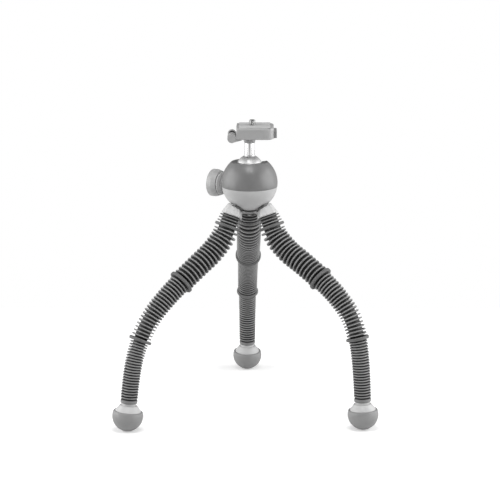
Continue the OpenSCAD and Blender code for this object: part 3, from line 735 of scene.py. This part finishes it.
def make_ball():
    """The satin ball with its neck, the polished stem and the boss under the clamp."""
    flat = math.sqrt(BALL_R ** 2 - STEM_FOOT_R ** 2)
    place = Matrix.Translation(ball_at)
    dome = sphere_arc(BALL_R, -BALL_R, flat - 0.1, 60)
    neck = flat + STEM_NECK_H
    hole_floor, spigot_low = 4, flat - 8
    crown = [(STEM_FOOT_R - 0.1, flat), (STEM_R + 0.1, neck), (SPIGOT_HOLE_R, neck),
             (SPIGOT_HOLE_R, hole_floor), (0, hole_floor)]
    ball = lathe("ball_turned", dome + crown, place, 96, closed=False)
    settle(ball, "ball_chrome", "ball_body", "ball", look="ball_satin")
    top = (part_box("clamp_body")[0] - ball_at).z / MM
    foot = neck + 0.08
    outline = rounded([(0, spigot_low, 0), (SPIGOT_R, spigot_low, 0), (SPIGOT_R, foot, 0), (STEM_R, foot, 0.15),
                       (STEM_R, top, 0), (0, top, 0)])
    stem = lathe("stem_turned", outline, place, closed=False)
    settle(stem, "ball_chrome", "clamp", "stem")
    boss_r, boss_low = STEM_R + STEM_FLANGE, top - STEM_BOSS_H
    cone = rounded([(STEM_R, boss_low, 0), (boss_r, boss_low + 2.2, 0.3), (boss_r, top, 0), (STEM_R, top, 0)])
    boss = lathe("stem_boss", cone, place)
    settle(boss, "clamp_grey", "clamp", "clamp_body")


def make_knob():
    """The lock knob: a neck, a grooved ring and a light domed cap."""
    place = along(hinge_at["lock_knob"], axis_of["knob_turn"])
    inner = HOUSING_R + KNOB_GAP
    middle = inner + KNOB_RING_LEN
    outer = middle + KNOB_CAP_LEN
    neck_low, groove_r = HOUSING_R + 0.4, KNOB_RING_R - 0.9
    ring = rounded([(0, neck_low, 0), (KNOB_NECK_R, neck_low, 0.3), (KNOB_NECK_R, inner, 0.5),
                    (KNOB_RING_R - 2.2, inner, 0.4), (KNOB_RING_R, inner + 2.0, 1.2),
                    (KNOB_RING_R, middle - 0.5, 0.2), (groove_r, middle - 0.3, 0), (groove_r, middle, 0),
                    (0, middle, 0)])
    piece = lathe("knob_grip_ring", ring, place, 96, closed=False)
    settle(piece, "knob_grey", "lock_knob", "knob_ring")
    dome_r = 2.4 * KNOB_R
    dome = [(r, outer - dome_r + h) for r, h in
            sphere_arc(dome_r, math.sqrt(dome_r ** 2 - (KNOB_R - 1.2) ** 2), dome_r, 16)]
    cap_low = middle + 0.02
    cap = rounded([(0, cap_low, 0), (KNOB_R - 1.7, cap_low, 0.1), (KNOB_R - 1.3, middle + 0.5, 0.2),
                   (KNOB_R, middle + 5, 2.5), (KNOB_R, dome[0][1] - 0.2, 1.6), (*dome[0], 0)])
    piece = lathe("knob_domed_cap", cap + dome[1:], place, 96, closed=False)
    settle(piece, "light_plastic", "lock_knob", "knob_cap", look="knob_cap")


# Clamp
def clamp_plan(inset, left_in=0.0):
    """The clamp's outline from above, moved in all round, and further at its left side."""
    half = CLAMP_D / 2 - inset
    left, right = CLAMP_LEFT + inset + left_in, CLAMP_RIGHT - inset
    tight = max(CLAMP_LEFT_CORNER - inset, 0.3)
    wide, back = CLAMP_CORNER - inset, CLAMP_BACK_CORNER - inset
    return rounded([(left, -half, tight), (right, -half, wide), (right, half, back), (left, half, tight)], 8)


def edge_steps(radius, steps=5):
    """A quarter round as pairs of inset and rise, from its foot to its crown."""
    angles = [math.pi / 2 * k / steps for k in range(steps + 1)]
    return [(radius * (1 - math.cos(t)), radius * math.sin(t)) for t in angles]


def make_clamp():
    """The clamp's block with its plate channel, button pocket and lever seat, and the jaw in the channel."""
    low, high = (corner.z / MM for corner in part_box("clamp_body"))
    jaw_low, jaw_high = (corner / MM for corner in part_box("moving_jaw"))
    edge = 0.7
    foot = [(low + edge - rise, clamp_plan(inset)) for inset, rise in reversed(edge_steps(edge))]
    block = loft("clamp_block", foot + [(high, clamp_plan(0))])
    rail = DOVETAIL_RIGHT + FIT
    front = -CLAMP_D / 2 + FRONT_WALL
    channel = [(-BEYOND, jaw_low.z - FIT), (rail, jaw_low.z - FIT), (rail, jaw_low.z),
               (rail - DOVETAIL_H, jaw_low.z + DOVETAIL_H), (rail - DOVETAIL_H, high + 20), (-BEYOND, high + 20)]
    combine(block, prism("channel", channel, front, BEYOND, "Y"), "DIFFERENCE")
    button_low, button_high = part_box("release_button")
    y, z0, z1 = button_high.y / MM + FIT, button_low.z / MM - FIT, button_high.z / MM + FIT
    pocket_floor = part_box("clamp_body")[1].x / MM - BUTTON_IN
    pocket = prism("pocket", [(-y, z0), (y, z0), (y, z1), (-y, z1)], pocket_floor, CLAMP_RIGHT + 20, "X")
    combine(block, pocket, "DIFFERENCE")
    pin = hinge_at["lever"] / MM
    seat = prism("seat", [(pin.x + LEVER_R * math.cos(t), pin.y + LEVER_R * math.sin(t)) for t in
                          [math.pi * (0.5 + k / 24) for k in range(25)]]
                 + [(CLAMP_LEFT + 1, pin.y - LEVER_R), (CLAMP_LEFT + 1, pin.y + LEVER_R)], low, low + SHELF_T)
    combine(block, seat, "UNION")
    settle(block, "clamp_grey", "clamp", "clamp_body")
    section = rounded([(jaw_low.x, jaw_low.z, 0.3), (jaw_high.x - DOVETAIL_H, jaw_low.z, 0.2),
                       (jaw_high.x, jaw_high.z, 0), (jaw_low.x, jaw_high.z, 0.4)])
    jaw = prism("sliding_jaw", section, front + FIT, jaw_high.y, "Y")
    settle(jaw, "clamp_grey", "jaw", "moving_jaw")


def make_lever():
    """The round lever along the clamp's left side, waisted behind its front grip."""
    pin = hinge_at["lever"] / MM
    front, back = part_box("clamp_lever")[0].y / MM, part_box("clamp_lever")[1].y / MM
    waist, tail = front + 14, pin.y - LEVER_R
    neck_r, hollow_r, hollow = LEVER_R - 2.2, LEVER_R - 0.8, 2.5
    grip_r, grip_drop = LEVER_R + 0.2, 0.5
    outline = rounded([(0, waist - 2, 0), (neck_r, waist - 2, 0), (neck_r, tail + hollow, 0.3),
                       (hollow_r, tail + hollow, 0.3), (hollow_r, tail, 0.2), (LEVER_R, tail, 0.4),
                       (LEVER_R, pin.y, 0)])
    ball_end = [(LEVER_R * math.cos(t), pin.y + LEVER_R * math.sin(t)) for t in
                [math.pi / 2 * k / 10 for k in range(1, 11)]]
    ball_end[-1] = (0, back)
    back_way = Vector((0, 1, 0))
    lever = lathe("lever_grip", outline + ball_end, along(Vector((pin.x, 0, pin.z)) * MM, back_way), 48,
                  closed=False)
    face_out(lever)
    bulge = rounded([(0, front, 0), (grip_r, front, 0.5), (grip_r, waist, 0.8), (0, waist, 0)])
    grip = lathe("grip", bulge, along(Vector((pin.x, 0, pin.z - grip_drop)) * MM, back_way), 48, closed=False)
    face_out(grip)
    combine(lever, grip, "UNION")
    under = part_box("clamp_body")[0].z / MM - FIT
    fin_end = CLAMP_LEFT + 5.5
    fin = [(pin.x, pin.z - grip_drop - grip_r + 0.02), (fin_end, under - 0.3), (fin_end, under), (pin.x, under)]
    combine(lever, prism("fin", fin, front + 0.3, waist - 1, "Y"), "UNION")
    floor_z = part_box("clamp_body")[0].z / MM + SHELF_T + FIT
    left, right, deep = pin.x - 20, pin.x + 20, floor_z - 30
    room = [(left, deep), (right, deep), (right, floor_z), (left, floor_z)]
    combine(lever, prism("room", room, tail - 0.35, back + 20, "Y"), "DIFFERENCE")
    settle(lever, "clamp_grey", "lever", "clamp_lever")


def make_button():
    """The release button, a little longer than its solid and with rounded edges."""
    low, high = (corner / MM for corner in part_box("release_button"))
    face = rounded([(low.y, low.z, 0.8), (high.y, low.z, 0.8), (high.y, high.z, 0.8), (low.y, high.z, 0.8)])
    button = prism("button_key", face, low.x, high.x + BUTTON_CROWN, "X")
    soften(button, 0.7)
    settle(button, "dark_plastic", "button", "release_button", look="button")


def make_plate():
    """The plate with its dovetail and the screw's well, and the two-part pad."""
    low, high = (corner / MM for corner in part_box("quick_plate"))
    foot_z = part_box("clamp_body")[1].z / MM + FIT
    middle = (low.x + high.x) / 2
    screw = hinge_at["screw"] / MM
    over_screw = Matrix.Translation(Vector((screw.x, screw.y, 0)) * MM)
    edge, draft = 1.5, 0.7
    sides = [(foot_z - FIT + PLATE_GAP, clamp_plan(PLATE_GAP))]
    for inset, rise in edge_steps(edge):
        z = high.z - edge + rise
        sides.append((z, clamp_plan(PLATE_GAP + inset, draft * (z - foot_z) / (high.z - foot_z) - inset)))
    plate = loft("plate_block", sides)
    left, right = middle - DOVETAIL_W / 2, middle + DOVETAIL_W / 2
    slide = [(left, low.z), (right, low.z), (right - DOVETAIL_H, low.z + DOVETAIL_H),
             (right - DOVETAIL_H, foot_z + 1), (left + DOVETAIL_H, foot_z + 1),
             (left + DOVETAIL_H, low.z + DOVETAIL_H)]
    combine(plate, prism("slide", slide, low.y + FRONT_WALL + FIT, high.y, "Y"), "UNION")
    well_r, well_top, bore_r = 6.4, low.z + 1.7, 3
    steps = [(0, low.z - 1), (well_r, low.z - 1), (well_r, well_top), (bore_r, well_top), (bore_r, high.z + 5),
             (0, high.z + 5)]
    well = lathe("well", steps, over_screw, 48, closed=False)
    face_out(well)
    combine(plate, well, "DIFFERENCE")
    settle(plate, "clamp_grey", "plate", "quick_plate")
    low, high = (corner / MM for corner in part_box("plate_pad"))
    groove, depth, hole_r = 1.8, 0.65, 3.6
    section = rounded([(low.y, low.z, 0), (high.y, low.z, 0), (high.y, high.z, 0.3), (groove, high.z, 0.2),
                       (groove, high.z - depth, 0), (-groove, high.z - depth, 0), (-groove, high.z, 0.2),
                       (low.y, high.z, 0.3)])
    pad = prism("pad_strips", section, low.x, high.x, "X")
    hole = lathe("hole", [(0, low.z - 1), (hole_r, low.z - 1), (hole_r, high.z + 1), (0, high.z + 1)],
                 over_screw, 48, closed=False)
    face_out(hole)
    combine(pad, hole, "DIFFERENCE")
    settle(pad, "pad_rubber", "plate", "plate_pad")


def make_camera_screw():
    """The camera screw with its thread cut as one helix."""
    screw = hinge_at["screw"] / MM
    low, high = (corner.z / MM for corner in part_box("camera_screw"))
    thread_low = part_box("plate_pad")[1].z / MM
    minor, tip, lead_in = SCREW_R - 0.55, 0.35, 0.4
    sides, rings_a_turn = 40, 12
    verts, faces = [], []
    levels = [(low, SCREW_HEAD_R), (low + SCREW_HEAD_H, SCREW_HEAD_R), (low + SCREW_HEAD_H, minor),
              (thread_low, minor)]
    count = round((high - thread_low) / SCREW_PITCH * rings_a_turn)
    levels += [(thread_low + (high - thread_low) * k / count, None) for k in range(1, count + 1)]
    for h, radius in levels:
        for k in range(sides):
            phase = (h / SCREW_PITCH - k / sides) % 1.0
            crest = minor + (SCREW_R - minor) * max(0.0, min(1.0, 1.6 * (1 - abs(2 * phase - 1)) - 0.2))
            lead = min(1.0, (high - h) / lead_in)
            r = radius or minor - tip * (1 - lead) + (crest - minor) * lead
            t = 2 * math.pi * k / sides
            verts.append(Vector((screw.x + r * math.cos(t), screw.y + r * math.sin(t), h)) * MM)
    for i in range(len(levels) - 1):
        for k in range(sides):
            n = (k + 1) % sides
            faces.append((i * sides + k, i * sides + n, (i + 1) * sides + n, (i + 1) * sides + k))
    last = (len(levels) - 1) * sides
    faces += [tuple(range(sides - 1, -1, -1)), tuple(range(last, last + sides))]
    settle(piece_from("threaded_screw", verts, faces, 50), "steel", "screw", "camera_screw", look="thread")


make_hub()
make_shells()
make_ball()
make_knob()
make_clamp()
make_lever()
make_button()
make_plate()
make_camera_screw()


# Every node of the frame that still shows gets its slot's material
slot_of = {s["node"]: s["material_slot"] for s in frame["record"]["subparts"]}
for node_name, node in nodes.items():
    node.data.materials.clear()
    node.data.materials.append(materials[slot_of[node_name]])


# Stage, light and camera
def seen_by_camera(tree):
    """One for what the camera sees itself, nought for light and reflections."""
    return tree.nodes.new("ShaderNodeLightPath").outputs["Is Camera Ray"]


def make_floor():
    """A white floor that keeps only faint shadows."""
    corners = [(-FLOOR_SIDE, FLOOR_FRONT), (FLOOR_SIDE, FLOOR_FRONT), (FLOOR_SIDE, FLOOR_BACK),
               (-FLOOR_SIDE, FLOOR_BACK)]
    floor = piece_from("floor", [Vector((x, y, 0)) for x, y in corners], [(0, 1, 2, 3)])
    material, tree, shader = new_material("floor_paper")
    shader.inputs["Base Color"].default_value = (0.9, 0.9, 0.9, 1)
    shader.inputs["Roughness"].default_value = 0.9
    shader.inputs["Specular IOR Level"].default_value = 0.0
    shader.inputs["Emission Color"].default_value = (1, 1, 1, 1)
    lift = tree.nodes.new("ShaderNodeMath")
    lift.operation = "MULTIPLY"
    lift.inputs[1].default_value = FLOOR_LIFT
    tree.links.new(seen_by_camera(tree), lift.inputs[0])
    tree.links.new(lift.outputs["Value"], shader.inputs["Emission Strength"])
    floor.data.materials.append(material)


def area_light(name, at, to, width, height, power):
    """A soft box that faces a point."""
    light = bpy.data.lights.new(name, "AREA")
    light.shape = "RECTANGLE"
    light.size = width
    light.size_y = height
    light.energy = power
    lamp = bpy.data.objects.new(name, light)
    lamp.location = at
    lamp.rotation_euler = (Vector(to) - Vector(at)).to_track_quat("-Z", "Y").to_euler()
    bpy.context.scene.collection.objects.link(lamp)


def make_world():
    """A grey room, dark round the camera, behind the part and overhead, and white where the camera looks."""
    world = bpy.data.worlds.new("room")
    world.use_nodes = True
    tree = world.node_tree
    background = tree.nodes["Background"]
    coords = tree.nodes.new("ShaderNodeTexCoord")
    split = tree.nodes.new("ShaderNodeSeparateXYZ")
    tree.links.new(coords.outputs["Generated"], split.inputs["Vector"])

    def greys(axis, stops):
        place = tree.nodes.new("ShaderNodeMapRange")
        place.inputs["From Min"].default_value = -1.0
        tree.links.new(split.outputs[axis], place.inputs["Value"])
        return ramp(tree, place.outputs["Result"], stops)

    room = multiply(tree, greys("Y", ROOM), greys("Z", ROOF))
    mix = tree.nodes.new("ShaderNodeMix")
    mix.data_type = "RGBA"
    mix.inputs[7].default_value = (1, 1, 1, 1)
    tree.links.new(seen_by_camera(tree), mix.inputs["Factor"])
    tree.links.new(room, mix.inputs[6])
    tree.links.new(mix.outputs[2], background.inputs["Color"])
    gloss = tree.nodes.new("ShaderNodeMath")
    gloss.operation = "MULTIPLY_ADD"
    gloss.inputs[1].default_value = GLOSS_LIFT
    gloss.inputs[2].default_value = 1.0
    tree.links.new(tree.nodes.new("ShaderNodeLightPath").outputs["Is Glossy Ray"], gloss.inputs[0])
    tree.links.new(gloss.outputs["Value"], background.inputs["Strength"])
    bpy.context.scene.world = world


def make_camera():
    """The photograph's view."""
    data = bpy.data.cameras.new("camera")
    data.sensor_width = SENSOR_MM
    data.lens = LENS_MM
    data.clip_end = 100
    camera = bpy.data.objects.new("camera", data)
    camera.location = CAMERA_AT
    camera.rotation_euler = (math.pi / 2 - CAMERA_PITCH, 0, 0)
    bpy.context.scene.collection.objects.link(camera)
    bpy.context.scene.camera = camera


make_floor()
make_world()
area_light("left_box", (-1.2, -0.1, 0.5), (0, 0, 0.18), 1.5, 1.2, 16)
area_light("right_box", (1.2, -0.1, 0.5), (0, 0, 0.18), 1.5, 1.2, 18)
area_light("top_box", (0, -0.45, 1.3), (0, 0, 0.25), 0.5, 0.5, 7)
make_camera()
bpy.context.scene.view_settings.view_transform = "Standard"
